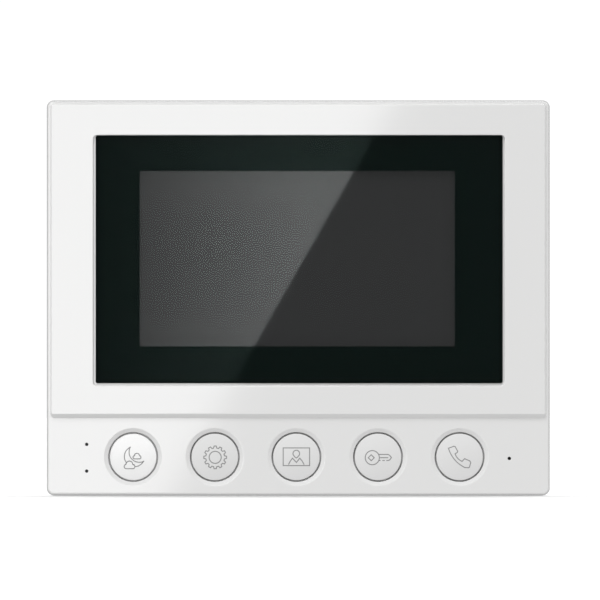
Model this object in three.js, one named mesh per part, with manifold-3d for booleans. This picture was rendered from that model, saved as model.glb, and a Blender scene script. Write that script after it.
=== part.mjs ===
// Wall-mounted video intercom monitor, as an assembly of separate pieces.
// Units are millimetres. X points right, Z up and +Y towards the wall, so the front faces -Y.
// The origin lies on the wall plane, behind the middle of the body.

import * as THREE from 'three';
import { mergeVertices } from 'three/addons/utils/BufferGeometryUtils.js';
import Module from 'manifold-3d';

const wasm = await Module();
wasm.setup();

// ---------------------------------------------------------------------------
// Driving dimensions
// ---------------------------------------------------------------------------

const BODY = centred(152.4, 119.7); // outline where the two covers meet
const BODY_RADIUS = 2.2;
const DRAFT = 0.45; // how much the sides lean in from there to the lower strip's face
const WALL = 2; // moulded wall thickness
const GAP = 0.3; // clearance between neighbouring pieces

// Levels along Y, from the wall to the front.
const WALL_Y = 0;
const BACK_Y = -0.6; // rear rim of the rear cover
const RECESS_Y = -2.7; // floor of the recess that holds the bracket
const BOARD_BACK_Y = -9.4;
const BOARD_FRONT_Y = -11;
const SEAM_Y = -11.9; // parting line of the two covers
const STRIP_Y = -19.8; // face of the lower strip
const FACE_Y = -21; // face of the raised panel

// Raised panel: its foot on the strip's level, its face, and the room inside it.
const PANEL_FOOT = rect(-75.1, 75.1, -36.35, 58.9);
const PANEL_FACE = rect(-74.58, 74.58, -35.15, 58.4);
const PANEL_ROOM = rect(-73, 73, -34.4, 56.6);
const PANEL_RADIUS = 1.5;

// Display window.
const WINDOW = centred(123, 74.84, 0.27, 11.65);
const WINDOW_RADIUS = 0.6;
const WINDOW_GAP = 0.12; // clearance round the window in its seat
const WINDOW_SINK = 0.65; // face of the window below the face of the panel
const WINDOW_THICK = 1.5;
const GROOVE = { width: 0.7, depth: 1.1 }; // groove between the panel and the window
const LEDGE = { width: 4, thick: 1 }; // ledge that the window is stuck to
const VIEW_AREA = centred(95.4, 53.1, -0.3, 11.85);
const MODULE = centred(105.5, 67.2, -0.3, 11.85); // display module

// Buttons.
const KEY_NAMES = ['do_not_disturb', 'settings', 'view', 'unlock', 'talk'];
const KEY_PITCH = 24.69;
const KEY_MIDDLE_X = -0.56;
const KEY_Z = -48.16;
const KEY_RADIUS = 7.05;
const KEY_HOLE_RADIUS = 7.5;
const DISH_RADIUS = 8.7;
const DISH_DEPTH = 0.6;
const KEY_DOME = 0.9;
const KEY_FLANGE = 8.1;
const KEY_SEGMENTS = 24;

// Pinholes in the lower strip.
const LIGHT_X = -64;
const LIGHT_Z = [-44.35, -52.43];
const LIGHT_HOLE = 0.5;
const MIC = { x: 63.87, z: -48.6, hole: 0.52 };

// Fixing points, and what stands at each: bosses, and screws that clear their holes.
const CASE_X = 69.8;
const CASE_Z = 53.7;
const BOARD_FIXINGS = [[-18, 49], [60, 49], [-18, -27], [60, -27]];
const KEY_FIXINGS = [-1.5, 1.5].map((step) => [KEY_MIDDLE_X + step * KEY_PITCH, KEY_Z]);
const CASE_BOSS = { radius: 3, hole: 1.5, bottomY: -16.6 };
const BOARD_BOSS = { radius: 2.8, hole: 1.3, bottomY: -15.1 };
const KEY_BOSS = { radius: 2.5, hole: 1.3, bottomY: -15.1 };
const CASE_SCREW = { head: 2.6, headThick: 1.6, shank: 1.2, tipY: -16 };
const BOARD_SCREW = { head: 2.2, headThick: 1.3, shank: 1, tipY: -14.6 };

// Rear details.
const RECESS = rect(-60, 60, -44, 50);
const BRACKET = rect(-48, 48, -6, 44);
const BRACKET_THICK = 1.2;
const BRACKET_RADIUS = 3;
const SCREW_SLOT = { x: 30, width: 3.8, height: 9 };
const CABLE_OPENING = rect(-20, 20, 6, 32);
const CONNECTOR_BAY = rect(-17, 17, 8, 30);
const HOOKS = [[-40, 36], [40, 36], [-40, 0], [40, 0]];
const HOOK_WIDTH = 5;
const HOOK_HEIGHT = 6;
const HOOK_STUB = 2.4;
const LIFT = 5; // how far the monitor lifts to leave the hooks
const SLOT = { pitch: 4, half: 0.9, radius: 0.8 }; // slots for sound and for air
const SPEAKER = { x: -44, z: -22, radius: 14, slotReach: 11.5 };
const VENT = { x: 30, count: 7, z0: -34, z1: -14 };
const CUP = { radius: 2.9, depth: 2.2, wall: 1 }; // what a case screw's head sinks into

// ---------------------------------------------------------------------------
// Shapes
// ---------------------------------------------------------------------------

function rect(x0, x1, z0, z1) {
  return { x0, x1, z0, z1 };
}

function centred(width, height, x = 0, z = 0) {
  return rect(x - width / 2, x + width / 2, z - height / 2, z + height / 2);
}

function grow(r, by) {
  return rect(r.x0 - by, r.x1 + by, r.z0 - by, r.z1 + by);
}

// Outline of a rectangle with round corners, drawn as the wall sees it: x right, z up.
function rounded(r, radius) {
  const shape = new THREE.Shape();
  const quarter = Math.PI / 2;
  shape.absarc(r.x1 - radius, r.z0 + radius, radius, -quarter, 0);
  shape.absarc(r.x1 - radius, r.z1 - radius, radius, 0, quarter);
  shape.absarc(r.x0 + radius, r.z1 - radius, radius, quarter, 2 * quarter);
  shape.absarc(r.x0 + radius, r.z0 + radius, radius, 2 * quarter, 3 * quarter);
  shape.closePath();
  return shape;
}

// A closed geometry becomes a solid, turned right side out.
function solid(geometry) {
  const bare = geometry.clone();
  bare.deleteAttribute('normal');
  bare.deleteAttribute('uv');
  const merged = mergeVertices(bare, 1e-4);
  const points = merged.attributes.position.array;
  const corner = (i) => new THREE.Vector3().fromArray(points, 3 * i);
  const faces = [];
  let volume = 0;
  for (let i = 0; i < merged.index.count; i += 3) {
    const face = [0, 1, 2].map((k) => merged.index.getX(i + k));
    if (new Set(face).size === 3) {
      faces.push(face);
      volume += corner(face[0]).dot(corner(face[1]).cross(corner(face[2])));
    }
  }
  const order = volume < 0 ? faces.map(([a, b, c]) => [a, c, b]) : faces;
  const mesh = new wasm.Mesh({
    numProp: 3,
    vertProperties: new Float32Array(points),
    triVerts: new Uint32Array(order.flat()),
  });
  return new wasm.Manifold(mesh);
}

function join(first, ...others) {
  return others.flat().reduce((sum, other) => sum.add(other), first);
}

function cut(first, ...others) {
  return others.flat().reduce((rest, other) => rest.subtract(other), first);
}

// An outline extruded from yBack forward to yFront.
function plate(shape, yBack, yFront, curveSegments = 3) {
  const geometry = new THREE.ExtrudeGeometry(shape, {
    depth: yBack - yFront,
    bevelEnabled: false,
    curveSegments,
  });
  return solid(geometry.rotateX(Math.PI / 2).translate(0, yBack, 0));
}

function roundedPlate(r, radius, yBack, yFront, curveSegments = 3) {
  return plate(rounded(r, radius), yBack, yFront, curveSegments);
}

// Rectangles with round corners, each given as [rectangle, y] from the back forward, joined by flat sides.
function lofted(sections, radius) {
  const last = sections.length - 1;
  const [base] = sections[0];
  const options = { depth: last, steps: last, bevelEnabled: false, curveSegments: 3 };
  const geometry = new THREE.ExtrudeGeometry(rounded(base, radius), options);
  const position = geometry.attributes.position;
  const { mapLinear } = THREE.MathUtils;
  for (let i = 0; i < position.count; i += 1) {
    const [r, y] = sections[Math.round(position.getZ(i))];
    const x = mapLinear(position.getX(i), base.x0, base.x1, r.x0, r.x1);
    const z = mapLinear(position.getY(i), base.z0, base.z1, r.z0, r.z1);
    position.setXYZ(i, x, y, z);
  }
  return solid(geometry);
}

function block(r, yBack, yFront) {
  const geometry = new THREE.BoxGeometry(r.x1 - r.x0, yBack - yFront, r.z1 - r.z0);
  geometry.translate((r.x0 + r.x1) / 2, (yBack + yFront) / 2, (r.z0 + r.z1) / 2);
  return solid(geometry);
}

// A round pin or hole along Y.
function pin(x, z, radius, yBack, yFront, segments = 12) {
  const geometry = new THREE.CylinderGeometry(radius, radius, yBack - yFront, segments);
  return solid(geometry.translate(x, (yBack + yFront) / 2, z));
}

// A profile of [radius, y] points turned about an axis along Y.
function turned(profile, x, z, segments = 24) {
  const points = profile.map(([radius, y]) => new THREE.Vector2(radius, y));
  return solid(new THREE.LatheGeometry(points, segments).translate(x, 0, z));
}

// A thin flat cable across X, whose middle line runs through [y, z] points.
function ribbon(route, thick, x0, x1) {
  const line = new THREE.SplineCurve(route.map(([y, z]) => new THREE.Vector2(y, z)));
  const steps = 6 * (route.length - 1);
  const side = (sign) => Array.from({ length: steps + 1 }, (_, i) => {
    const point = line.getPoint(i / steps);
    const along = line.getTangent(i / steps);
    const across = new THREE.Vector2(-along.y, along.x);
    return point.addScaledVector(across, sign * thick / 2);
  });
  const shape = new THREE.Shape([...side(1), ...side(-1).reverse()]);
  const geometry = new THREE.ExtrudeGeometry(shape, { depth: x1 - x0, bevelEnabled: false });
  const axes = new THREE.Matrix4().makeBasis(
    new THREE.Vector3(0, 1, 0),
    new THREE.Vector3(0, 0, 1),
    new THREE.Vector3(1, 0, 0),
  );
  return solid(geometry.applyMatrix4(axes).translate(x0, 0, 0));
}

// ---------------------------------------------------------------------------
// Placing
// ---------------------------------------------------------------------------

const FINISHES = {
  housing: { color: 0xf0f0ee, roughness: 0.2 },
  key: { color: 0xefefed, roughness: 0.25 },
  window: { color: 0x2a2e30, roughness: 0.05 },
  mask: { color: 0x0c0f0e, roughness: 0.4 },
  tape: { color: 0x181818, roughness: 0.9 },
  display: { color: 0x303132, roughness: 0.2 },
  metal: { color: 0xb9bcbf, roughness: 0.4, metalness: 1 },
  board: { color: 0x1c5b34, roughness: 0.6 },
  chip: { color: 0x1d1e20, roughness: 0.7 },
  rubber: { color: 0x202020, roughness: 0.9 },
  nylon: { color: 0xe9e5d8, roughness: 0.6 },
  film: { color: 0xb26a24, roughness: 0.5 },
  paper: { color: 0x3a3a3c, roughness: 0.95 },
};

const monitor = new THREE.Group();

function place(name, piece, finish) {
  const { vertProperties, triVerts } = piece.getMesh();
  const geometry = new THREE.BufferGeometry();
  geometry.setAttribute('position', new THREE.BufferAttribute(vertProperties, 3));
  geometry.setIndex(new THREE.BufferAttribute(triVerts, 1));
  geometry.computeVertexNormals();
  const mesh = new THREE.Mesh(geometry, new THREE.MeshStandardMaterial(FINISHES[finish]));
  mesh.name = name;
  monitor.add(mesh);
}

const KEYS = KEY_NAMES.map((name, i) => ({ name, x: KEY_MIDDLE_X + (i - 2) * KEY_PITCH }));
const CASE_FIXINGS = [[-CASE_X, CASE_Z], [CASE_X, CASE_Z], [-CASE_X, -CASE_Z], [CASE_X, -CASE_Z]];

// ---------------------------------------------------------------------------
// Front cover
// ---------------------------------------------------------------------------

const FRONT_RIM_Y = SEAM_Y - GAP / 2;
const REAR_RIM_Y = SEAM_Y + GAP / 2;
const STRIP_INSIDE_Y = STRIP_Y + WALL;
const PANEL_INSIDE_Y = FACE_Y + WALL;
const LEDGE_Y = FACE_Y + WINDOW_SINK + WINDOW_THICK + 0.5; // front of the window ledge
const LEDGE_BACK_Y = LEDGE_Y + LEDGE.thick;
const WINDOW_OPENING = grow(WINDOW, -LEDGE.width);
const ROOT = 0.5; // how far a boss or rib runs into the wall that carries it
const BOSS_END_Y = BOARD_FRONT_Y - GAP;
const INNER_RADIUS = 1;

function frontShell() {
  const walls = lofted([[BODY, FRONT_RIM_Y], [grow(BODY, -DRAFT), STRIP_Y]], BODY_RADIUS);
  const panelSections = [[PANEL_FOOT, STRIP_Y + 1], [PANEL_FOOT, STRIP_Y], [PANEL_FACE, FACE_Y]];
  const inside = roundedPlate(grow(BODY, -WALL), INNER_RADIUS, FRONT_RIM_Y + 1, STRIP_INSIDE_Y);
  const panelInside = roundedPlate(PANEL_ROOM, INNER_RADIUS, STRIP_INSIDE_Y + 1, PANEL_INSIDE_Y);
  return cut(join(walls, lofted(panelSections, PANEL_RADIUS)), inside, panelInside);
}

function windowFrame() {
  const rim = 3;
  return roundedPlate(grow(WINDOW, rim), INNER_RADIUS, LEDGE_BACK_Y, PANEL_INSIDE_Y - ROOT);
}

// The window's seat, with a groove round its mouth, and the opening through its ledge.
function windowCuts() {
  const grooveY = FACE_Y + GROOVE.depth;
  const mouth = grow(WINDOW, GROOVE.width);
  const seat = [[WINDOW, LEDGE_Y], [WINDOW, grooveY], [mouth, grooveY], [mouth, FACE_Y - 1]];
  return [
    lofted(seat, WINDOW_RADIUS),
    roundedPlate(WINDOW_OPENING, INNER_RADIUS, LEDGE_BACK_Y + 1, LEDGE_Y - 1),
  ];
}

// A hole for a key, in a shallow conical dish.
function keyHole(x) {
  const dishBack = STRIP_Y + DISH_DEPTH;
  const profile = [
    [0, STRIP_INSIDE_Y + 1], [KEY_HOLE_RADIUS, STRIP_INSIDE_Y + 1], [KEY_HOLE_RADIUS, dishBack],
    [DISH_RADIUS, STRIP_Y], [DISH_RADIUS, STRIP_Y - 1], [0, STRIP_Y - 1],
  ];
  return turned(profile, x, KEY_Z, KEY_SEGMENTS);
}

function pinholes() {
  const through = [STRIP_INSIDE_Y + 1, STRIP_Y - 1];
  const lights = LIGHT_Z.map((z) => pin(LIGHT_X, z, LIGHT_HOLE, ...through, 10));
  return [...lights, pin(MIC.x, MIC.z, MIC.hole, ...through, 10)];
}

// A boss that a screw bites into: its screw hole is blind.
function boss([x, z], size, endY) {
  const post = pin(x, z, size.radius, endY, PANEL_INSIDE_Y - ROOT, 14);
  return { post, hole: pin(x, z, size.hole, endY + 1, size.bottomY, 8) };
}

function frontCover() {
  const bosses = [
    ...CASE_FIXINGS.map((at) => boss(at, CASE_BOSS, FRONT_RIM_Y)),
    ...BOARD_FIXINGS.map((at) => boss(at, BOARD_BOSS, BOSS_END_Y)),
    ...KEY_FIXINGS.map((at) => boss(at, KEY_BOSS, BOSS_END_Y)),
  ];
  const body = join(frontShell(), windowFrame(), bosses.map((one) => one.post));
  return cut(
    body,
    windowCuts(),
    bosses.map((one) => one.hole),
    KEYS.map((key) => keyHole(key.x)),
    pinholes(),
  );
}

// ---------------------------------------------------------------------------
// Rear cover
// ---------------------------------------------------------------------------

const REAR_SEAM = grow(BODY, -1.2);
const REAR_BACK = grow(REAR_SEAM, -1.3);
const REAR_RADIUS = 2;
const RECESS_INSIDE_Y = RECESS_Y - WALL;

function rearOutside() {
  return lofted([[REAR_BACK, BACK_Y], [REAR_SEAM, REAR_RIM_Y]], REAR_RADIUS);
}

function rearInside() {
  const back = grow(REAR_BACK, -WALL);
  const seam = grow(REAR_SEAM, -WALL);
  return lofted([[back, BACK_Y - WALL], [seam, REAR_RIM_Y], [seam, REAR_RIM_Y - 1]], INNER_RADIUS);
}

// A shallow lip that drops inside the rim of the front cover.
function rearLip() {
  const outer = grow(BODY, -WALL - GAP);
  const thick = 1;
  const ends = [SEAM_Y + 0.8, SEAM_Y - 1.3];
  const ring = roundedPlate(outer, INNER_RADIUS, ...ends);
  const middle = roundedPlate(grow(outer, -thick), INNER_RADIUS, ends[0] + 1, ends[1] - 1);
  const room = CASE_FIXINGS.map(([x, z]) => pin(x, z, CASE_BOSS.radius + 0.4, REAR_RIM_Y, ends[1] - 1, 14));
  return cut(ring, middle, room);
}

function slot(x0, x1, z0, z1) {
  return roundedPlate(rect(x0, x1, z0, z1), SLOT.radius, RECESS_Y + 1, RECESS_INSIDE_Y - 1, 2);
}

// Bars across the loudspeaker leave these slots open.
function soundSlots() {
  return [-2, -1, 0, 1, 2].map((row) => {
    const rise = row * SLOT.pitch;
    const half = Math.sqrt(SPEAKER.slotReach ** 2 - rise ** 2);
    const z = SPEAKER.z + rise;
    return slot(SPEAKER.x - half, SPEAKER.x + half, z - SLOT.half, z + SLOT.half);
  });
}

function ventSlots() {
  return Array.from({ length: VENT.count }, (_, column) => {
    const x = VENT.x + column * SLOT.pitch;
    return slot(x - SLOT.half, x + SLOT.half, VENT.z0, VENT.z1);
  });
}

// Each hook has room below it for the monitor to lift.
function hookSlots() {
  return HOOKS.map(([x, z]) => {
    const room = 0.6;
    const half = HOOK_WIDTH / 2 + room;
    const hole = rect(x - half, x + half, z - LIFT - room, z + HOOK_STUB + GAP);
    return block(hole, RECESS_Y + 1, RECESS_INSIDE_Y - 1);
  });
}

function rearCover() {
  const outside = rearOutside();
  const recessRoom = roundedPlate(grow(RECESS, WALL), REAR_RADIUS, BACK_Y, RECESS_INSIDE_Y);
  const tower = CUP.radius + CUP.wall;
  const towers = CASE_FIXINGS.map(([x, z]) => pin(x, z, tower, BACK_Y, REAR_RIM_Y, 16));
  const added = join(recessRoom, towers).intersect(outside);
  const body = join(cut(outside, rearInside()), added, rearLip());
  return cut(
    body,
    roundedPlate(RECESS, REAR_RADIUS, BACK_Y + 1, RECESS_Y),
    roundedPlate(CONNECTOR_BAY, 1.5, RECESS_Y + 1, RECESS_INSIDE_Y - 1),
    CASE_FIXINGS.map(([x, z]) => pin(x, z, CUP.radius, BACK_Y + 1, BACK_Y - CUP.depth, 16)),
    CASE_FIXINGS.map(([x, z]) => pin(x, z, CASE_BOSS.hole, BACK_Y, REAR_RIM_Y - 3, 8)),
    soundSlots(),
    ventSlots(),
    hookSlots(),
  );
}

// ---------------------------------------------------------------------------
// Wall bracket
// ---------------------------------------------------------------------------

const HOOK_FRONT_Y = RECESS_INSIDE_Y - GAP - BRACKET_THICK;

// A stub through the rear cover, and a tongue that stands up behind its floor.
function hook([x, z]) {
  const across = [x - HOOK_WIDTH / 2, x + HOOK_WIDTH / 2];
  const stub = block(rect(...across, z, z + HOOK_STUB), -0.5, HOOK_FRONT_Y);
  const tongue = block(rect(...across, z, z + HOOK_HEIGHT), HOOK_FRONT_Y + BRACKET_THICK, HOOK_FRONT_Y);
  return join(stub, tongue);
}

function wallBracket() {
  const through = [WALL_Y + 1, -BRACKET_THICK - 1];
  const middleZ = (BRACKET.z0 + BRACKET.z1) / 2;
  const sheet = roundedPlate(BRACKET, BRACKET_RADIUS, WALL_Y, -BRACKET_THICK);
  const screwSlots = [-SCREW_SLOT.x, SCREW_SLOT.x].map((x) =>
    roundedPlate(centred(SCREW_SLOT.width, SCREW_SLOT.height, x, middleZ), 1.8, ...through));
  const opening = roundedPlate(CABLE_OPENING, BRACKET_RADIUS, ...through);
  return join(cut(sheet, opening, screwSlots), HOOKS.map(hook));
}

// ---------------------------------------------------------------------------
// Window and display
// ---------------------------------------------------------------------------

function border(outer, inner, yBack, yFront) {
  return cut(block(outer, yBack, yFront), block(inner, yBack + 1, yFront - 1));
}

function placeWindow() {
  const glass = grow(WINDOW, -WINDOW_GAP);
  const front = FACE_Y + WINDOW_SINK;
  const back = front + WINDOW_THICK;
  place('display_window', roundedPlate(glass, WINDOW_RADIUS, back, front), 'window');
  place('window_mask', border(grow(glass, -0.2), VIEW_AREA, back + 0.2, back + 0.05), 'mask');
  const tape = border(grow(glass, -0.6), grow(WINDOW_OPENING, 0.2), LEDGE_Y - 0.05, back + 0.25);
  place('window_tape', tape, 'tape');
}

function placeDisplay() {
  const front = LEDGE_BACK_Y + 0.1;
  const back = front + 3.7;
  const panelFront = front + 0.2;
  const sheet = { side: 0.75, back: 0.4, front: 0.15, lip: 2.2 }; // how far the tray covers each side
  const tray = cut(
    block(MODULE, back, front),
    block(grow(MODULE, -sheet.side), back - sheet.back, front + sheet.front),
    block(grow(MODULE, -sheet.lip), front + 1, front - 1),
  );
  place('lcd_frame', tray, 'metal');
  const stack = grow(MODULE, -1);
  place('lcd_panel', block(stack, panelFront + 1.6, panelFront), 'display');
  place('lcd_backlight', block(stack, panelFront + 2.9, panelFront + 1.7), 'nylon');
  const z = MODULE.z0;
  const route = [[-16, z - 0.4], [-15.6, z - 2.6], [-13.2, z - 3.6], [-11.5, z - 2], [-11.3, z + 3]];
  place('lcd_flex', ribbon(route, 0.25, 10, 34), 'film');
}

// ---------------------------------------------------------------------------
// Boards and what they carry
// ---------------------------------------------------------------------------

const MAIN_BOARD = rect(-22, 64, -31, 53);
const KEY_BOARD = rect(-66.4, 66.4, -55.3, -39);
const ON_FRONT_Y = BOARD_FRONT_Y - 0.1; // pieces on a board stand a solder's thickness off it
const ON_BACK_Y = BOARD_BACK_Y + 0.1;

function placeBoards() {
  const holes = (points) => points.map(([x, z]) =>
    pin(x, z, 1.4, BOARD_BACK_Y + 1, BOARD_FRONT_Y - 1, 8));
  const board = (area) => roundedPlate(area, 1, BOARD_BACK_Y, BOARD_FRONT_Y, 1);
  const notches = CASE_FIXINGS.map(([x, z]) => pin(x, z, 4.6, BOARD_BACK_Y + 1, BOARD_FRONT_Y - 1, 16));
  place('main_board', cut(board(MAIN_BOARD), holes(BOARD_FIXINGS)), 'board');
  place('key_board', cut(board(KEY_BOARD), holes(KEY_FIXINGS), notches), 'board');
  const link = [[-9.1, -28], [-8.2, -31], [-8.2, -39], [-9.1, -42]];
  place('board_link_cable', ribbon(link, 0.3, 4, 16), 'film');
}

function chip(name, x, z, width, height, thick) {
  place(name, roundedPlate(centred(width, height, x, z), 0.4, ON_BACK_Y + thick, ON_BACK_Y, 1), 'chip');
}

function capacitor(name, x, z) {
  const base = block(centred(5.3, 5.3, x, z), ON_BACK_Y + 0.6, ON_BACK_Y);
  place(name, join(base, pin(x, z, 2.5, ON_BACK_Y + 4, ON_BACK_Y + 0.3, 16)), 'metal');
}

// A board socket open to the back, with its contacts standing in it.
function socket(name, x, z, pins) {
  const pitch = 2.5;
  const body = centred(pitch * pins + 2.4, 5.8, x, z);
  const endY = -3.2;
  const shell = cut(block(body, endY, ON_BACK_Y), block(grow(body, -0.9), endY + 1, ON_BACK_Y + 1.2));
  const contacts = Array.from({ length: pins }, (_, i) => {
    const at = centred(0.64, 0.64, x + (i - (pins - 1) / 2) * pitch, z);
    return block(at, endY - 0.8, ON_BACK_Y + 1);
  });
  place(name, join(shell, contacts), 'nylon');
}

function placeComponents() {
  chip('processor_chip', 34, 20, 15, 15, 1.4);
  chip('memory_chip', 52, 20, 8, 12, 1.2);
  chip('audio_chip', -12, -12, 7, 7, 1);
  capacitor('capacitor_1', 23, 37);
  capacitor('capacitor_2', 30, 37);
  const coil = roundedPlate(centred(7, 7, 49, 37), 1.6, ON_BACK_Y + 3.4, ON_BACK_Y, 2);
  place('inductor', coil, 'chip');
  socket('door_socket_1', -8, 24, 4);
  socket('door_socket_2', 8, 24, 4);
  socket('power_socket', -6, 13, 2);
}

// ---------------------------------------------------------------------------
// Buttons and their switches
// ---------------------------------------------------------------------------

const KEY_EDGE_Y = STRIP_Y + 0.5; // where the dome meets the side of the key
const KEY_FLANGE_Y = STRIP_INSIDE_Y + GAP;
const KEY_FLANGE_THICK = 0.8;
const STEM_RADIUS = 2;
const STEM_END_Y = -15.7;
const SWITCH = { width: 6, frontY: -14.7, boreY: -11.9, plunger: 1.65 };

// A domed key, held by a flange behind the front cover, with a stem that presses its switch.
function keyCap(x) {
  const rings = 3;
  const bend = (KEY_RADIUS ** 2 + KEY_DOME ** 2) / (2 * KEY_DOME); // radius of the dome's sphere
  const dome = Array.from({ length: rings + 1 }, (_, i) => {
    const radius = (KEY_RADIUS * i) / rings;
    const fall = bend - Math.sqrt(bend ** 2 - radius ** 2);
    return [radius, KEY_EDGE_Y - KEY_DOME + fall];
  });
  const back = [
    [KEY_RADIUS, KEY_FLANGE_Y],
    [KEY_FLANGE, KEY_FLANGE_Y],
    [KEY_FLANGE, KEY_FLANGE_Y + KEY_FLANGE_THICK],
    [STEM_RADIUS, KEY_FLANGE_Y + KEY_FLANGE_THICK],
    [STEM_RADIUS, STEM_END_Y],
    [0, STEM_END_Y],
  ];
  return turned([...dome, ...back], x, KEY_Z, KEY_SEGMENTS);
}

function placeKeys() {
  KEYS.forEach(({ name, x }) => {
    const body = block(centred(SWITCH.width, SWITCH.width, x, KEY_Z), ON_FRONT_Y, SWITCH.frontY);
    const bore = pin(x, KEY_Z, SWITCH.plunger + GAP, SWITCH.boreY, SWITCH.frontY - 1);
    const plunger = pin(x, KEY_Z, SWITCH.plunger, SWITCH.boreY - 0.9, STEM_END_Y + 0.1);
    place(`${name}_button`, keyCap(x), 'key');
    place(`${name}_switch`, cut(body, bore), 'chip');
    place(`${name}_plunger`, plunger, 'rubber');
  });
}

function placeLights() {
  ['upper', 'lower'].forEach((which, i) => {
    const z = LIGHT_Z[i];
    const guide = [[0, -18.9], [0.3, -18.9], [0.3, -17.6], [1.2, -17.6], [1.2, -12], [0, -12]];
    place(`light_guide_${which}`, turned(guide, LIGHT_X, z, 8), 'window');
    place(`status_led_${which}`, block(centred(0.8, 1.6, LIGHT_X, z), ON_FRONT_Y, -11.7), 'nylon');
  });
}

function placeMicrophone() {
  const cup = [
    [0.6, -17.6], [3.7, -17.6], [3.7, ON_FRONT_Y], [3.15, ON_FRONT_Y],
    [3.15, -16.9], [0.6, -16.9], [0.6, -17.6],
  ];
  place('microphone_boot', turned(cup, MIC.x, MIC.z, 14), 'rubber');
  place('microphone', pin(MIC.x, MIC.z, 3, -14.1, -16.8, 14), 'metal');
}

// ---------------------------------------------------------------------------
// Loudspeaker, facing the slots in the rear cover
// ---------------------------------------------------------------------------

function placeSpeaker() {
  const { x, z, radius } = SPEAKER;
  const front = RECESS_INSIDE_Y - 0.2;
  const gasket = [
    [12.4, front], [radius, front], [radius, front - 0.5], [12.4, front - 0.5], [12.4, front],
  ];
  place('speaker_gasket', turned(gasket, x, z, 20), 'rubber');
  const rim = front - 0.6;
  const basket = [
    [12.6, rim], [radius, rim], [radius, rim - 0.8], [12.2, rim - 0.8], [8.6, rim - 3.4],
    [4, rim - 3.4], [4, rim - 2.9], [8.2, rim - 2.9], [11.6, rim - 0.5], [12.6, rim - 0.5], [12.6, rim],
  ];
  place('speaker_basket', turned(basket, x, z, 20), 'metal');
  const cone = [
    [0, rim - 0.4], [3, rim - 1.2], [10.6, rim - 0.2], [12.3, rim - 0.2], [12.3, rim - 0.4],
    [10.8, rim - 0.4], [3, rim - 1.5], [3, rim - 2.6], [0, rim - 2.6],
  ];
  place('speaker_cone', turned(cone, x, z, 20), 'paper');
  place('speaker_magnet', pin(x, z, 7.5, rim - 3.5, rim - 6.3, 20), 'metal');
}

// A sprung steel bridge over the magnet, that holds the loudspeaker against its gasket.
function placeSpeakerClamp() {
  const { x, z, radius } = SPEAKER;
  const foot = RECESS_INSIDE_Y - 0.2;
  const top = foot - 7.9;
  const arm = (side) => block(rect(x - 3, x + 3, ...side), foot, top);
  const clamp = join(
    block(rect(x - 3, x + 3, z - radius - 2.2, z + radius + 2.2), top + 0.6, top),
    arm([z - radius - 2.2, z - radius - 1.4]),
    arm([z + radius + 1.4, z + radius + 2.2]),
  );
  place('speaker_clamp', clamp, 'metal');
}

// ---------------------------------------------------------------------------
// Screws
// ---------------------------------------------------------------------------

// A pan-head screw driven forwards.
function screw([x, z], { head, headThick, shank, tipY }, seatY) {
  const top = seatY + headThick;
  const profile = [
    [0, tipY], [shank, tipY + 0.8], [shank, seatY], [head, seatY],
    [head, seatY + headThick * 0.5], [head * 0.7, top], [0, top],
  ];
  return turned(profile, x, z, 10);
}

function placeScrews() {
  const caseSeat = BACK_Y - CUP.depth + 0.1;
  CASE_FIXINGS.forEach((at, i) => {
    place(`case_screw_${i + 1}`, screw(at, CASE_SCREW, caseSeat), 'metal');
  });
  BOARD_FIXINGS.forEach((at, i) => {
    place(`board_screw_${i + 1}`, screw(at, BOARD_SCREW, ON_BACK_Y), 'metal');
  });
  KEY_FIXINGS.forEach((at, i) => {
    place(`key_board_screw_${i + 1}`, screw(at, BOARD_SCREW, ON_BACK_Y), 'metal');
  });
}

// ---------------------------------------------------------------------------

place('front_cover', frontCover(), 'housing');
place('rear_cover', rearCover(), 'housing');
place('wall_bracket', wallBracket(), 'metal');
placeWindow();
placeDisplay();
placeBoards();
placeComponents();
placeKeys();
placeLights();
placeMicrophone();
placeSpeaker();
placeSpeakerClamp();
placeScrews();

export default monitor;
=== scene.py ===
"""Looks of a wall-mounted video intercom monitor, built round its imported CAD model.

Lengths are in millimetres and are scaled to metres when a mesh is made. X points right, Z up and
+Y towards the wall, so the front faces -Y.
"""

import math

import bmesh
import bpy
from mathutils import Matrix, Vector
from mathutils.geometry import tessellate_polygon


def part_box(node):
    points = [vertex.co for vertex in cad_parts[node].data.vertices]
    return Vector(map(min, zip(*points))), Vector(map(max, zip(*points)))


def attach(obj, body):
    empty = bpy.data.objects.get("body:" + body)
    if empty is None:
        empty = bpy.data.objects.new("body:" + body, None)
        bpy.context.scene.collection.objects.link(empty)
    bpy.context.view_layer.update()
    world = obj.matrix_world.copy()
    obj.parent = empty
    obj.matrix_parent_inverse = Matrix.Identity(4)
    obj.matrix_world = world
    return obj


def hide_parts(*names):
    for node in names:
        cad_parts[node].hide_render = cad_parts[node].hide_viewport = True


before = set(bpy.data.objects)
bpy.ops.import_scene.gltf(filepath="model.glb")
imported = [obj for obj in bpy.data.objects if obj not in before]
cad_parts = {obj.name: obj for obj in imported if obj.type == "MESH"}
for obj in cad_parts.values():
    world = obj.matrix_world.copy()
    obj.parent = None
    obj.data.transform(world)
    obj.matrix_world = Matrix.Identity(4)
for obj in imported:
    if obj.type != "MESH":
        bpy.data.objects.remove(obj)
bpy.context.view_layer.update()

MM = 0.001
KEYS = ("do_not_disturb", "settings", "view", "unlock", "talk")


# ---------------------------------------------------------------------------
# Reading the frame
# ---------------------------------------------------------------------------

def box(node):
    """A CAD node's lowest and highest corner, in millimetres."""
    low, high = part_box(node)
    return Vector(low) / MM, Vector(high) / MM


def centre(node):
    low, high = box(node)
    return (low + high) / 2


def face(node, grow=0.0):
    """A CAD node's rectangle seen from the front, (x0, x1, z0, z1), grown by so much all round."""
    low, high = box(node)
    return low.x - grow, high.x + grow, low.z - grow, high.z + grow


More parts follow.
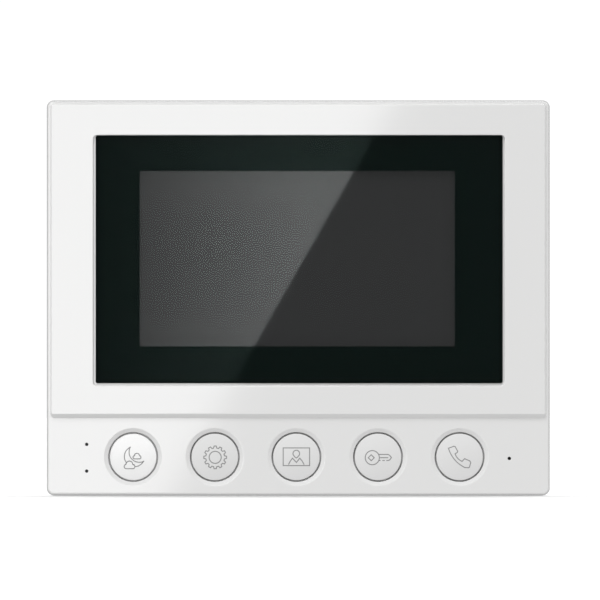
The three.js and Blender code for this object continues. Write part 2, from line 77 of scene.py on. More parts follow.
# Levels along Y that the pieces share.
FACE_Y = box("front_cover")[0].y
STRIP_Y = FACE_Y + 1.2
FRONT_RIM_Y = box("front_cover")[1].y
REAR_RIM_Y = FRONT_RIM_Y + 0.3
REAR_SEAM_Y = REAR_RIM_Y + 0.8
INSIDE_Y = STRIP_Y + 2.0
BACK_Y = box("rear_cover")[1].y
RECESS_Y = BACK_Y - 2.1
RECESS_INSIDE_Y = RECESS_Y - 2.0


# ---------------------------------------------------------------------------
# Outlines and profiles
# ---------------------------------------------------------------------------

def rounded(rect, radius, segments=8, shares=(1, 1, 1, 1)):
    """A rectangle with round corners, as a function of (offset, y).

    offset moves the sides outwards, each by its share: left, right, bottom, top.
    """
    x0, x1, z0, z1 = rect

    def at(offset, y):
        left, right, bottom, top = (offset * share for share in shares)
        r = max(radius + offset, 0.02)
        corners = ((x1 + right - r, z0 - bottom + r, -90), (x1 + right - r, z1 + top - r, 0),
                   (x0 - left + r, z1 + top - r, 90), (x0 - left + r, z0 - bottom + r, 180))
        points = []
        for x, z, start in corners:
            for k in range(segments + 1):
                turn = math.radians(start + 90 * k / segments)
                points.append((x + r * math.cos(turn), y, z + r * math.sin(turn)))
        return points
    return at


def circle(x, z, radius=0.0, segments=64):
    """A circle as a function of (offset, y), where offset adds to its radius."""
    def at(offset, y):
        r = radius + offset
        turns = [2 * math.pi * k / segments for k in range(segments)]
        return [(x + r * math.cos(turn), y, z + r * math.sin(turn)) for turn in turns]
    return at


def cross(x, z, arm, half):
    """A four-armed cross, as a function of (offset, y)."""
    def at(offset, y):
        a, b = arm + offset, half + offset
        quarter = ((a, -b), (a, b), (b, b))
        points = []
        for cos, sin in ((1, 0), (0, 1), (-1, 0), (0, -1)):
            points += [(x + u * cos - v * sin, y, z + u * sin + v * cos) for u, v in quarter]
        return points
    return at


def filleted(points, radii, steps=4):
    """A profile through points, with each inner corner rounded to its own radius."""
    corners = [Vector(point) for point in points]
    profile = [corners[0]]
    for before, corner, after, radius in zip(corners, corners[1:], corners[2:], radii):
        if radius == 0:
            profile.append(corner)
            continue
        back, ahead = (before - corner).normalized(), (after - corner).normalized()
        half = back.angle(ahead) / 2
        middle = corner + (back + ahead).normalized() * radius / math.sin(half)
        start = corner + back * radius / math.tan(half) - middle
        end = corner + ahead * radius / math.tan(half) - middle
        sweep = start.angle_signed(end)
        for k in range(steps + 1):
            turn = -sweep * k / steps
            cos, sin = math.cos(turn), math.sin(turn)
            profile.append(middle + Vector((start.x * cos - start.y * sin, start.x * sin + start.y * cos)))
    profile.append(corners[-1])
    return profile


# ---------------------------------------------------------------------------
# Meshes
# ---------------------------------------------------------------------------

class Shell:
    """A surface made of collars, each an outline swept along a profile, and flat faces with holes."""

    def __init__(self):
        self.mesh = bmesh.new()
        self.slot = 0

    def add_face(self, verts):
        self.mesh.faces.new(verts).material_index = self.slot

    def loop(self, points):
        return [self.mesh.verts.new(Vector(point) * MM) for point in points]

    def skin(self, near, far):
        for i in range(len(near)):
            j = (i + 1) % len(near)
            self.add_face((near[i], near[j], far[j], far[i]))

    def collar(self, shape, profile):
        """Sweeps shape along (offset, y) points, and gives its first and last loop."""
        loops = [self.loop(shape(*point)) for point in profile]
        for near, far in zip(loops, loops[1:]):
            self.skin(near, far)
        return loops[0], loops[-1]

    def fill(self, outer, holes=()):
        loops = [outer, *holes]
        verts = [vert for loop in loops for vert in loop]
        outline = [[vert.co / MM for vert in loop] for loop in loops]
        for corners in tessellate_polygon(outline):
            self.add_face([verts[i] for i in corners])

    def cap(self, loop, point):
        """Closes a loop with a fan to one point."""
        tip = self.mesh.verts.new(Vector(point) * MM)
        for i in range(len(loop)):
            self.add_face((loop[i], loop[(i + 1) % len(loop)], tip))

    def plug(self, shape, profile):
        """A closed solid: a collar with both of its ends filled."""
        first, last = self.collar(shape, profile)
        self.fill(first)
        self.fill(last)

    def piece(self, name, materials, body, slot, *nodes):
        """The finished object, riding on a body and standing for CAD nodes."""
        bmesh.ops.recalc_face_normals(self.mesh, faces=self.mesh.faces)
        data = bpy.data.meshes.new(name)
        self.mesh.to_mesh(data)
        self.mesh.free()
        return finish_piece(name, data, materials, body, slot, *nodes)


def finish_piece(name, data, materials, body, slot, *nodes):
    for polygon in data.polygons:
        polygon.use_smooth = True
    data.set_sharp_from_angle(angle=math.radians(50))
    for material in materials if isinstance(materials, tuple) else (materials,):
        data.materials.append(material)
    obj = bpy.data.objects.new(name, data)
    bpy.context.scene.collection.objects.link(obj)
    normals = obj.modifiers.new("weighted_normals", "WEIGHTED_NORMAL")
    normals.keep_sharp = True
    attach(obj, body)
    if nodes:
        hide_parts(*nodes)
    return obj


# ---------------------------------------------------------------------------
# Materials
# ---------------------------------------------------------------------------

RANGE_INPUTS = ("From Min", "From Max", "To Min", "To Max")


class Nodes:
    """A short way to write a material's node tree."""

    def __init__(self, name):
        self.material = bpy.data.materials.new(name)
        self.material.use_nodes = True
        self.tree = self.material.node_tree
        self.shader = self.tree.nodes["Principled BSDF"]
        self.place = self.new("ShaderNodeTexCoord").outputs["Object"]

    def new(self, kind, **settings):
        node = self.tree.nodes.new(kind)
        for key, value in settings.items():
            setattr(node, key, value)
        return node

    def link(self, output, socket):
        self.tree.links.new(output, socket)

    def noise(self, size, detail=2.0, stretch=(1, 1, 1)):
        """Noise whose features are about size millimetres across."""
        mapping = self.new("ShaderNodeMapping")
        mapping.inputs["Scale"].default_value = [s / (size * MM) for s in stretch]
        texture = self.new("ShaderNodeTexNoise")
        texture.inputs["Scale"].default_value = 1.0
        texture.inputs["Detail"].default_value = detail
        self.link(self.place, mapping.inputs["Vector"])
        self.link(mapping.outputs["Vector"], texture.inputs["Vector"])
        return texture.outputs["Fac"]

    def remap(self, value, low, high, out_low, out_high):
        node = self.new("ShaderNodeMapRange")
        for key, number in zip(RANGE_INPUTS, (low, high, out_low, out_high)):
            node.inputs[key].default_value = number
        self.link(value, node.inputs["Value"])
        return node.outputs["Result"]

    def mix(self, factor, first, second):
        node = self.new("ShaderNodeMix", data_type="RGBA")
        self.link(factor, node.inputs["Factor"])
        for socket, value in ((node.inputs[6], first), (node.inputs[7], second)):
            if isinstance(value, tuple):
                socket.default_value = (*value, 1.0)
            else:
                self.link(value, socket)
        return node.outputs[2]

    def bump(self, height, depth, strength=1.0):
        """Relief of the given depth in millimetres."""
        node = self.new("ShaderNodeBump")
        node.inputs["Distance"].default_value = depth * MM
        node.inputs["Strength"].default_value = strength
        self.link(height, node.inputs["Height"])
        self.link(node.outputs["Normal"], self.shader.inputs["Normal"])

    def set(self, **values):
        for key, value in values.items():
            self.shader.inputs[key.replace("_", " ").title().replace("Ior", "IOR")].default_value = value


SNOW = (1.0, 1.0, 0.995)


def grey(value):
    return (value, value, value)


def shade(color, factor):
    return tuple(min(1.0, channel * factor) for channel in color)


def surface(name, color, roughness, *, grain=0.8, variety=0.03, spread=0.04, relief=0.004,
            stretch=(1, 1, 1), **settings):
    """A material with a fine grain: its colour, gloss and relief all vary a little."""
    nodes = Nodes(name)
    cloudy = nodes.noise(grain * 12, 3.0)
    fine = nodes.noise(grain, 2.0, stretch)
    mixed = nodes.mix(cloudy, shade(color, 1 - variety), shade(color, 1 + variety))
    nodes.link(mixed, nodes.shader.inputs["Base Color"])
    rough = nodes.remap(fine, 0.3, 0.7, roughness - spread, roughness + spread)
    nodes.link(rough, nodes.shader.inputs["Roughness"])
    nodes.bump(fine, relief)
    nodes.set(**settings)
    return nodes.material


def housing_material(name, albedo, roughness, grain, relief):
    """Moulded white plastic."""
    nodes = Nodes(name)
    base = nodes.mix(nodes.noise(18, 3.0), shade(SNOW, albedo * 0.994), shade(SNOW, albedo))
    nodes.link(base, nodes.shader.inputs["Base Color"])
    fine = nodes.noise(grain)
    rough = nodes.remap(fine, 0.3, 0.7, roughness * 0.85, roughness * 1.15)
    nodes.link(rough, nodes.shader.inputs["Roughness"])
    nodes.bump(fine, relief)
    nodes.set(specular_ior_level=1.0)
    return nodes.material


def display_material():
    """A dark display that is switched off, under its smooth polariser."""
    nodes = Nodes("display_off")
    cells = nodes.mix(nodes.noise(30), (0.021, 0.021, 0.022), (0.024, 0.024, 0.025))
    nodes.link(cells, nodes.shader.inputs["Base Color"])
    nodes.link(nodes.remap(nodes.noise(2.0), 0.3, 0.7, 0.008, 0.016), nodes.shader.inputs["Roughness"])
    nodes.set(specular_ior_level=0.63)
    return nodes.material


def window_material():
    """Clear acrylic, slightly smoked: dark and glossy, and mostly let through."""
    nodes = Nodes("window_acrylic")
    nodes.shader.inputs["Base Color"].default_value = (0.002, 0.0028, 0.0025, 1.0)
    nodes.link(nodes.remap(nodes.noise(4.0), 0.3, 0.7, 0.008, 0.02), nodes.shader.inputs["Roughness"])
    nodes.set(alpha=0.11, specular_ior_level=0.4, specular_tint=(0.75, 1.0, 0.93, 1.0))
    return nodes.material


def metal(name, color, roughness, stretch=(1, 1, 14)):
    return surface(name, color, roughness, grain=0.35, variety=0.05, spread=0.08, relief=0.0015,
                   stretch=stretch, metallic=1.0)


WHITE = housing_material("polished_white", 0.80, 0.05, 0.5, 0.00005)
REAR_WHITE = housing_material("textured_white", 0.76, 0.34, 0.35, 0.01)
KEY_WHITE = surface("key_white", (0.79, 0.79, 0.787), 0.22, grain=0.3, variety=0.004, spread=0.02,
                    relief=0.001, specular_ior_level=0.8)
INK_GREY = surface("icon_ink", grey(0.27), 0.45, grain=0.15, variety=0.06)
WINDOW = window_material()
MASK = surface("mask_ink", (0.0006, 0.0045, 0.0036), 0.35, grain=0.3, variety=0.1, relief=0.0005,
               specular_ior_level=0.05)
DISPLAY = display_material()
STEEL = metal("zinc_plated_steel", (0.60, 0.61, 0.62), 0.34)
SCREW = metal("zinc_screw", (0.52, 0.53, 0.54), 0.3, stretch=(3, 3, 3))
PRESSED = metal("pressed_steel", (0.62, 0.63, 0.64), 0.3, stretch=(14, 1, 1))
CAN = metal("drawn_aluminium", (0.76, 0.77, 0.78), 0.28)
CONTACT = metal("tinned_contact", (0.72, 0.66, 0.46), 0.25)
NYLON = surface("socket_nylon", (0.80, 0.77, 0.68), 0.42, grain=0.3, relief=0.003)
BOARD = surface("board_green", (0.012, 0.085, 0.032), 0.32, grain=0.5, variety=0.25, relief=0.01)
EPOXY = surface("moulded_epoxy", grey(0.014), 0.55, grain=0.12, variety=0.15, relief=0.004)
RUBBER = surface("black_rubber", grey(0.012), 0.72, grain=0.25, variety=0.12, relief=0.006)
FOAM = surface("black_foam", grey(0.018), 0.95, grain=0.35, variety=0.3, relief=0.05)
FILM = surface("flex_film", (0.46, 0.19, 0.035), 0.35, grain=0.3, variety=0.1)
RIBBON = surface("ribbon_cable", grey(0.70), 0.5, grain=0.3, variety=0.05, stretch=(8, 1, 1))
PAPER = surface("cone_paper", grey(0.03), 0.9, grain=0.4, variety=0.3, relief=0.03)
SMOKED = surface("light_guide", (0.05, 0.055, 0.058), 0.12, grain=0.3, relief=0.001)
FERRITE = surface("ferrite", grey(0.045), 0.7, grain=0.2, variety=0.2, relief=0.01)


# ---------------------------------------------------------------------------
# Front cover
# ---------------------------------------------------------------------------

BODY = face("front_cover")
DRAFT = 0.45  # how much the sides of the front cover lean in towards the front
WALL = 2.0
PANEL_FOOT = (-75.1, 75.1, -36.35, 58.9)
PANEL_BEVEL = 1.2
PANEL_SHARES = (0.43, 0.43, 1.0, 0.42)
WINDOW_SEAT = face("display_window", 0.19)
WINDOW_LEDGE_Y = box("window_tape")[1].y + 0.05
GROOVE_Y = FACE_Y + 1.1
GROOVE_WIDTH = 0.72
GROOVE_SHARES = (1.1, 0.95, 1.15, 0.2)
LEDGE_WIDTH = 4.0
PINHOLES = {"light_guide_upper": 0.5, "light_guide_lower": 0.5, "microphone": 0.52}
PINHOLE_LIP = 0.06


def pinhole(shell, node, radius):
    """A hole through the strip in front of a node, with a rounded lip. Gives its mouth and its far loop."""
    at = centre(node)
    profile = filleted([(2 * PINHOLE_LIP, STRIP_Y), (0, STRIP_Y), (0, INSIDE_Y)], [PINHOLE_LIP], 3)
    return shell.collar(circle(at.x, at.z, radius, 24), profile)


def key_hole(shell, name):
    at = centre(f"{name}_button")
    profile = filleted(
        [(8.95, STRIP_Y), (8.7, STRIP_Y), (7.58, STRIP_Y + 0.56), (7.5, STRIP_Y + 0.8), (7.5, INSIDE_Y)],
        [0.25, 0.12, 0])
    return shell.collar(circle(at.x, at.z, segments=96), profile)


def front_cover():
    shell = Shell()
    body = rounded(BODY, 2.2, 12)
    outer = filleted(
        [(-WALL, INSIDE_Y), (-WALL, FRONT_RIM_Y), (0, FRONT_RIM_Y),
         (-DRAFT, STRIP_Y), (-DRAFT - 0.48, STRIP_Y)],
        [0.2, 0.1, 0.45], 5)
    pocket, edge = shell.collar(body, outer)

    panel = rounded(PANEL_FOOT, 1.5, 10, PANEL_SHARES)
    bevel = filleted(
        [(0.1, STRIP_Y), (0, STRIP_Y), (-PANEL_BEVEL, FACE_Y), (-PANEL_BEVEL - 0.3, FACE_Y)],
        [0.06, 0.25])
    foot, panel_face = shell.collar(panel, bevel)

    groove = rounded(WINDOW_SEAT, 0.6, 8, GROOVE_SHARES)
    mouth, groove_floor = shell.collar(groove, filleted(
        [(0.95, FACE_Y), (GROOVE_WIDTH, FACE_Y), (0.68, GROOVE_Y), (0.4, GROOVE_Y)], [0.1, 0.1]))
    seat, opening = shell.collar(rounded(WINDOW_SEAT, 0.6, 8), filleted(
        [(0, GROOVE_Y), (0, WINDOW_LEDGE_Y), (-LEDGE_WIDTH, WINDOW_LEDGE_Y), (-LEDGE_WIDTH, INSIDE_Y)],
        [0.1, 0.1]))
    shell.fill(groove_floor, [seat])

    holes = [key_hole(shell, name) for name in KEYS]
    holes += [pinhole(shell, node, radius) for node, radius in PINHOLES.items()]

    shell.fill(edge, [foot, *(hole[0] for hole in holes)])
    shell.fill(panel_face, [mouth])
    shell.fill(pocket, [opening, *(hole[1] for hole in holes)])
    return shell.piece("front_shell", WHITE, "monitor", "housing_white", "front_cover")


# ---------------------------------------------------------------------------
# Window, mask and display
# ---------------------------------------------------------------------------

def window():
    """The clear pane, with its edge and the rim of its back painted black."""
    low, high = box("display_window")
    rim_width = 0.7
    shell = Shell()
    shape = rounded(face("display_window", 0.17), 0.6, 8)
    front = filleted([(-0.3, low.y), (0, low.y), (0, high.y)], [0.08], 3)
    pane_front, edge = shell.collar(shape, front[:-1])
    shell.fill(pane_front)
    shell.slot = 1
    back_rim = shell.collar(shape, [front[-2], front[-1], (-rim_width, high.y)])[1]
    shell.slot = 0
    shell.fill(back_rim)
    bmesh.ops.remove_doubles(shell.mesh, verts=shell.mesh.verts, dist=1e-7)
    return shell.piece("window_pane", (WINDOW, MASK), "monitor", "window_acrylic", "display_window")


def frame_plate(node, inner, material, name, slot):
    """A thin flat frame: the CAD node's outline, out to the pane's edge, with a rectangular opening."""
    low, high = box(node)
    shell = Shell()
    outer = shell.collar(rounded(face(node, 0.3), 0.6, 6), [(0, low.y), (0, high.y)])
    opening = shell.collar(rounded(inner, 0.15, 4), [(0, low.y), (0, high.y)])
    for side in (0, 1):
        shell.fill(outer[side], [opening[side]])
    return shell.piece(name, material, "monitor", slot, node)


def display():
    view = (-48.0, 47.4, -14.7, 38.4)
    turn = 0.1
    frame_plate("window_mask", view, MASK, "window_border", "mask_black")
    low, high = box("lcd_panel")
    profile = filleted(
        [(-3 * turn, low.y), (0, low.y), (0, high.y), (-3 * turn, high.y)], [turn, turn], 3)
    shell = Shell()
    shell.plug(rounded(face("lcd_panel"), 0.4, 6), profile)
    shell.piece("display_glass", DISPLAY, "monitor", "lcd_glass", "lcd_panel")


# ---------------------------------------------------------------------------
# Buttons
# ---------------------------------------------------------------------------

KEY_RADIUS = 7.05
KEY_DOME = 0.9
DOME_BEND = (KEY_RADIUS ** 2 + KEY_DOME ** 2) / (2 * KEY_DOME)


def dome_y(node, radius):
    """The level of a key's domed face at a distance from its axis."""
    return box(node)[0].y + DOME_BEND - math.sqrt(DOME_BEND ** 2 - radius ** 2)


def key_cap(name):
    node = f"{name}_button"
    at = centre(node)
    back = box(node)[1].y
    flange = STRIP_Y + 2.3
    dome = [(radius, dome_y(node, radius)) for radius in (0.7 * k for k in range(1, 10))]
    rest = [(KEY_RADIUS, dome_y(node, KEY_RADIUS)), (KEY_RADIUS, flange), (8.1, flange),
            (8.1, flange + 0.8), (2.0, flange + 0.8), (2.0, back)]
    turns = [0] * (len(dome) - 1) + [0.12, 0.1, 0.15, 0.15, 0.2]
    shell = Shell()
    first, last = shell.collar(circle(at.x, at.z, segments=80), filleted(dome + rest, turns))
    shell.cap(first, (at.x, dome_y(node, 0), at.z))
    shell.fill(last)
    return shell.piece(f"{name}_cap", KEY_WHITE, f"{name}_key", "key_white", node)


# Icons: each is a list of strokes, and a stroke is a list of (x, z) points from the key's centre.

def arc(x, z, radius, start, end, step=12):
    """Points on a circle, from one angle to another in degrees."""
    count = max(2, math.ceil(abs(end - start) / step))
    turns = [math.radians(start + (end - start) * k / count) for k in range(count + 1)]
    return [(x + radius * math.cos(turn), z + radius * math.sin(turn)) for turn in turns]


def curve(*points, steps=6):
    """A smooth curve through points."""
    ends = [points[0], *points, points[-1]]
    line = []
    for p0, p1, p2, p3 in zip(ends, ends[1:], ends[2:], ends[3:]):
        for k in range(steps):
            t = k / steps
            weights = (-t + 2 * t * t - t ** 3, 2 - 5 * t * t + 3 * t ** 3,
                       t + 4 * t * t - 3 * t ** 3, -t * t + t ** 3)
            line.append(tuple(sum(w * p[i] for w, p in zip(weights, (p0, p1, p2, p3))) / 2 for i in (0, 1)))
    return line + [points[-1]]


def closed(points):
    return [*points, points[0]]


def crossing(first, second):
    """Where two circles, given as (x, z, radius) from left to right, cross on their upper side."""
    start, end = Vector(first[:2]), Vector(second[:2])
    way = end - start
    along = (first[2] ** 2 - second[2] ** 2 + way.length_squared) / (2 * way.length)
    across = math.sqrt(first[2] ** 2 - along ** 2)
    way.normalize()
    return start + way * along + Vector((-way.y, way.x)) * across


def cloud(base, *lobes):
    """A cloud of round lobes, given as (x, z, radius) from left to right, with a flat base."""
    joints = [crossing(*pair) for pair in zip(lobes, lobes[1:])]
    first, last = lobes[0], lobes[-1]
    starts = [180 - math.degrees(math.asin((base - first[1]) / first[2]))]
    starts += [angle_at(lobe, joint) for lobe, joint in zip(lobes[1:], joints)]
    ends = [angle_at(lobe, joint) for lobe, joint in zip(lobes, joints)]
    ends.append(math.degrees(math.asin((base - last[1]) / last[2])))
    outline = []
    for lobe, start, end in zip(lobes, starts, ends):
        outline += arc(*lobe, start, end)
    return closed(outline)


def angle_at(lobe, point):
    return math.degrees(math.atan2(point.y - lobe[1], point.x - lobe[0]))


def moon_icon():
    horn = arc(0.4, 0.15, 3.08, 113, 217)
    belly = arc(0.4, 0.15, 3.08, 273, 335)
    inner = arc(1.85, 1.5, 3.1, 149, 299)
    small = cloud(-0.56, (0.45, -0.07, 0.5), (1.15, 0.38, 0.75), (1.85, -0.07, 0.5))
    large = cloud(-3.54, (-2.05, -2.88, 0.68), (-1.15, -2.25, 1.02), (-0.15, -2.9, 0.66))
    return [horn, inner, belly, small, large]


def gear_icon():
    teeth = 12
    x, z = 0.12, -0.1
    outline = []
    for k in range(teeth):
        middle = 90 + 360 * k / teeth
        for turn, radius in ((-9.5, 2.85), (-5.5, 3.45), (5.5, 3.45), (9.5, 2.85)):
            outline += arc(x, z, radius, middle + turn, middle + turn + 0.01)[:1]
    return [closed(outline), arc(x, z, 1.83, 0, 360)]


def screen_icon():
    bezel = closed([(-4.0, -2.6), (4.0, -2.6), (4.0, 2.75), (-4.0, 2.75)])
    head = closed(arc(-0.03, 1.05, 1.0, -35, 215) + [(-0.35, -0.1), (-0.03, -0.3), (0.29, -0.1)])
    shoulders = [(-2.4, -2.3), (-1.9, -1.3), (-1.17, -0.35), (0.0, -1.65),
                 (1.03, -0.35), (1.8, -1.3), (2.33, -2.3)]
    return [bezel, head, shoulders]


def key_icon():
    bow = arc(-1.73, -0.2, 2.14, 0, 360)
    eye = closed([(-2.95, -0.22), (-2.05, 0.68), (-1.15, -0.22), (-2.05, -1.12)])
    blade = [(0.2, 0.78), (3.0, 0.78), (3.5, 0.55), (4.06, -0.18), (3.55, -0.85), (3.1, -1.06), (2.5, -1.06)]
    teeth = [[(1.3, -1.06), (2.05, -1.06)], [(0.3, -1.06), (0.75, -1.06)]]
    return [bow, eye, blade, *teeth, [(0.6, -0.2), (3.1, -0.2)]]


def handset_icon():
    ear = [(-3.38, 2.66), (-1.75, 3.25), (-1.38, 3.15), (-0.58, 1.75), (-0.7, 1.4), (-1.38, 0.95)]
    grip = curve((-1.38, 0.95), (-0.95, 0.1), (-0.2, -0.75), (0.72, -1.33))
    mouth = [(1.53, -0.5), (3.1, -1.2), (3.36, -1.7), (2.98, -3.05), (2.75, -3.25), (1.46, -3.15)]
    back = curve((1.46, -3.15), (-0.35, -1.95), (-1.9, -0.3), (-2.9, 1.4), (-3.38, 2.66))
    return [ear + grip[1:] + mouth + back[1:]]


def subdivided(stroke, step=0.4):
    """The same stroke with no piece longer than step, so that it can follow the dome."""
    points = [Vector(stroke[0])]
    for end in stroke[1:]:
        start, end = points[-1], Vector(end)
        count = max(1, math.ceil((end - start).length / step))
        points += [start.lerp(end, k / count) for k in range(1, count + 1)]
    return points


def stroke_sides(points, half):
    """The left and right edge of a line, mitred at its corners."""
    is_loop = (points[0] - points[-1]).length < 1e-6
    sides = []
    for i, point in enumerate(points):
        before = points[i - 1] if i else (points[-2] if is_loop else None)
        after = points[i + 1] if i + 1 < len(points) else (points[1] if is_loop else None)
        ways = [(b - a).normalized() for a, b in ((before, point), (point, after)) if a and b]
        way = sum(ways, Vector((0, 0))).normalized()
        across = Vector((-way.y, way.x))
        stretch = 1 / max(0.5, way.dot(ways[0]))
        sides.append((point + across * half * stretch, point - across * half * stretch))
    return sides


def icon(name, strokes, width=0.27, proud=0.02, sunk=0.03):
    """Line art printed on a domed key, as thin raised lines of ink."""
    node = f"{name}_button"
    at = centre(node)
    shell = Shell()
    for stroke in strokes:
        rings = []
        for left, right in stroke_sides(subdivided(stroke), width / 2):
            corners = ((left, -proud), (right, -proud), (right, sunk), (left, sunk))
            rings.append(shell.loop([(at.x + p.x, dome_y(node, p.length) + rise, at.z + p.y)
                                     for p, rise in corners]))
        for near, far in zip(rings, rings[1:]):
            shell.skin(near, far)
        shell.fill(rings[0])
        shell.fill(rings[-1])
    return shell.piece(f"{name}_icon", INK_GREY, f"{name}_key", "key_white")


# ---------------------------------------------------------------------------
# Rear cover
# ---------------------------------------------------------------------------

RECESS = (-60, 60, -44, 50)
BAY = (-17, 17, 8, 30)
HOOK_AT = ((-40, 36), (40, 36), (-40, 0), (40, 0))
CUP_RADIUS = 2.9
CUP_DEPTH = 2.2
SPEAKER_REACH = 11.5
SLOT_PITCH = 4
SLOT_HALF = 0.9
CASE_SCREWS = tuple(f"case_screw_{k}" for k in (1, 2, 3, 4))


def rear_openings():
    """Every opening in the recess floor, as (rectangle, corner radius)."""
    speaker = centre("speaker_magnet")
    openings = [(BAY, 1.5)]
    for x, z in HOOK_AT:
        openings.append(((x - 3.1, x + 3.1, z - 5.6, z + 2.7), 0.3))
    for row in (-2, -1, 0, 1, 2):
        rise = SLOT_PITCH * row
        half = math.sqrt(SPEAKER_REACH ** 2 - rise ** 2)
        z = speaker.z + rise
        openings.append(((speaker.x - half, speaker.x + half, z - SLOT_HALF, z + SLOT_HALF), 0.85))
    for column in range(7):
        x = 30 + SLOT_PITCH * column
        openings.append(((x - SLOT_HALF, x + SLOT_HALF, -34, -14), 0.85))
    return openings


def screw_cup(shell, node):
    """The well that a case screw's head sinks into. Gives its mouth."""
    at = centre(node)
    floor_y = BACK_Y - CUP_DEPTH
    profile = filleted([(0.14, BACK_Y), (0, BACK_Y), (0, floor_y), (-0.4, floor_y)], [0.12, 0.15])
    mouth, bottom = shell.collar(circle(at.x, at.z, CUP_RADIUS, 40), profile)
    shell.fill(bottom)
    return mouth


def rear_cover():
    """The rear shell, with a recess for the bracket and openings in its floor."""
    shell = Shell()
    low, high = box("rear_cover")
    seam = rounded((low.x, high.x, low.z, high.z), 2.0, 10)
    wall_inside_y = BACK_Y - 2.4
    outer = filleted(
        [(-3.4, wall_inside_y), (-2.1, REAR_SEAM_Y), (-2.1, low.y), (-1.1, low.y), (-1.1, REAR_RIM_Y),
         (0, REAR_RIM_Y), (-1.3, BACK_Y), (-1.9, BACK_Y)],
        [0, 0.2, 0.2, 0.1, 0.2, 0.5], 4)
    pocket, rim = shell.collar(seam, outer)

    recess = rounded(RECESS, 2.0, 8)
    recess_mouth, floor = shell.collar(
        recess, filleted([(0.6, BACK_Y), (0, BACK_Y), (0, RECESS_Y), (-0.6, RECESS_Y)], [0.3, 0.3]))
    block = rounded(RECESS, 2.0, 8)
    block_foot, block_top = shell.collar(block, [(2.0, wall_inside_y), (2.0, RECESS_INSIDE_Y)])

    cups = [screw_cup(shell, node) for node in CASE_SCREWS]
    holes = []
    for rect, radius in rear_openings():
        shape = rounded(rect, radius, 5)
        profile = filleted([(0.25, RECESS_Y), (0, RECESS_Y), (0, RECESS_INSIDE_Y)], [0.15], 3)
        holes.append(shell.collar(shape, profile))

    shell.fill(rim, [recess_mouth, *cups])
    shell.fill(floor, [hole[0] for hole in holes])
    shell.fill(pocket, [block_foot])
    shell.fill(block_top, [hole[1] for hole in holes])
    return shell.piece("rear_shell", REAR_WHITE, "monitor", "housing_white", "rear_cover")


# ---------------------------------------------------------------------------
# Wall bracket
# ---------------------------------------------------------------------------

BRACKET = (-48, 48, -6, 44)
BRACKET_THICK = 1.2
CABLE_OPENING = (-20, 20, 6, 32)
SCREW_SLOT_AT = (-30, 30)
HOOK_HEIGHT = 6.0
HOOK_STUB = 2.4


def hook(shell, x, z):
    """A hook pressed out of the plate: a stub forwards, then a tongue upwards."""
    front = box("wall_bracket")[0].y
    back = front + BRACKET_THICK
    top, stub = z + HOOK_HEIGHT, z + HOOK_STUB
    outline = filleted(
        [(-1.0, z), (front, z), (front, top), (back, top), (back, stub), (-1.0, stub), (-1.0, z)],
        [0.9, 0.3, 0.3, 0.25, 0], 4)[:-1]
    rings = [shell.loop([(x + side, y, height) for y, height in outline]) for side in (-2.5, 2.5)]
    shell.skin(*rings)
    shell.fill(rings[0])
    shell.fill(rings[1])


def wall_bracket():
    shell = Shell()
    front, back = -BRACKET_THICK, 0.0
    outer = shell.collar(
        rounded(BRACKET, 3.0, 10),
        filleted([(-0.3, front), (0, front), (0, back), (-0.3, back)], [0.15, 0.15], 3))
    holes = []
    openings = [(CABLE_OPENING, 3.0)] + [((x - 1.9, x + 1.9, 14.5, 23.5), 1.85) for x in SCREW_SLOT_AT]
    for rect, radius in openings:
        profile = filleted([(0.3, front), (0, front), (0, back), (0.3, back)], [0.15, 0.15], 3)
        holes.append(shell.collar(rounded(rect, radius, 8), profile))
    for side in (0, 1):
        shell.fill(outer[side], [hole[side] for hole in holes])
    for x, z in HOOK_AT:
        hook(shell, x, z)
    return shell.piece("bracket_plate", STEEL, "bracket", "bracket_steel", "wall_bracket")


# ---------------------------------------------------------------------------
# Sockets and screws
# ---------------------------------------------------------------------------

PIN_PITCH = 2.5
PIN_HALF = 0.32


def socket(node):
    """A board socket with square contacts standing in it, open to the back."""
    low, high = box(node)
    shell = Shell()
    pins = round((high.x - low.x - 2.4) / PIN_PITCH)
    floor_y = low.y + 1.2
    shape = rounded(face(node), 0.3, 4)
    profile = filleted(
        [(-0.3, low.y), (0, low.y), (0, high.y), (-0.9, high.y), (-0.9, floor_y), (-1.2, floor_y)],
        [0.15, 0.15, 0.12, 0.1], 3)
    shell.plug(shape, profile)
    shell.slot = 1
    middle = centre(node)
    for k in range(pins):
        x = middle.x + (k - (pins - 1) / 2) * PIN_PITCH
        square = (x - PIN_HALF, x + PIN_HALF, middle.z - PIN_HALF, middle.z + PIN_HALF)
        contact = rounded(square, 0.05, 2)
        shell.plug(contact, [(0, floor_y - 0.2), (0, high.y - 1.2), (-0.14, high.y - 0.8)])
    return shell.piece(f"{node}_shell", (NYLON, CONTACT), "monitor", "socket_nylon", node)


def case_screw(node):
    """A pan-head screw with a cross recess, its head in the rear cover's counterbore."""
    low, high = box(node)
    at = centre(node)
    head = high.y - 1.6
    shape = circle(at.x, at.z, segments=40)
    profile = filleted(
        [(0.6, low.y), (1.2, low.y + 0.8), (1.2, head), (2.6, head), (2.6, high.y - 0.7),
         (2.2, high.y), (2.05, high.y)],
        [0, 0.05, 0.1, 0.4, 0.3], 4)
    shell = Shell()
    tip, rim = shell.collar(shape, profile)
    shell.fill(tip)
    recess = cross(at.x, at.z, 1.35, 0.33)
    mouth, bottom = shell.collar(recess, [(0, high.y), (-0.03, high.y - 0.1), (-0.16, high.y - 1.0)])
    shell.fill(rim, [mouth])
    shell.fill(bottom)
    return shell.piece(f"{node}_head", SCREW, "monitor", "screw_steel", node)


# ---------------------------------------------------------------------------
# CAD nodes that keep their shape
# ---------------------------------------------------------------------------

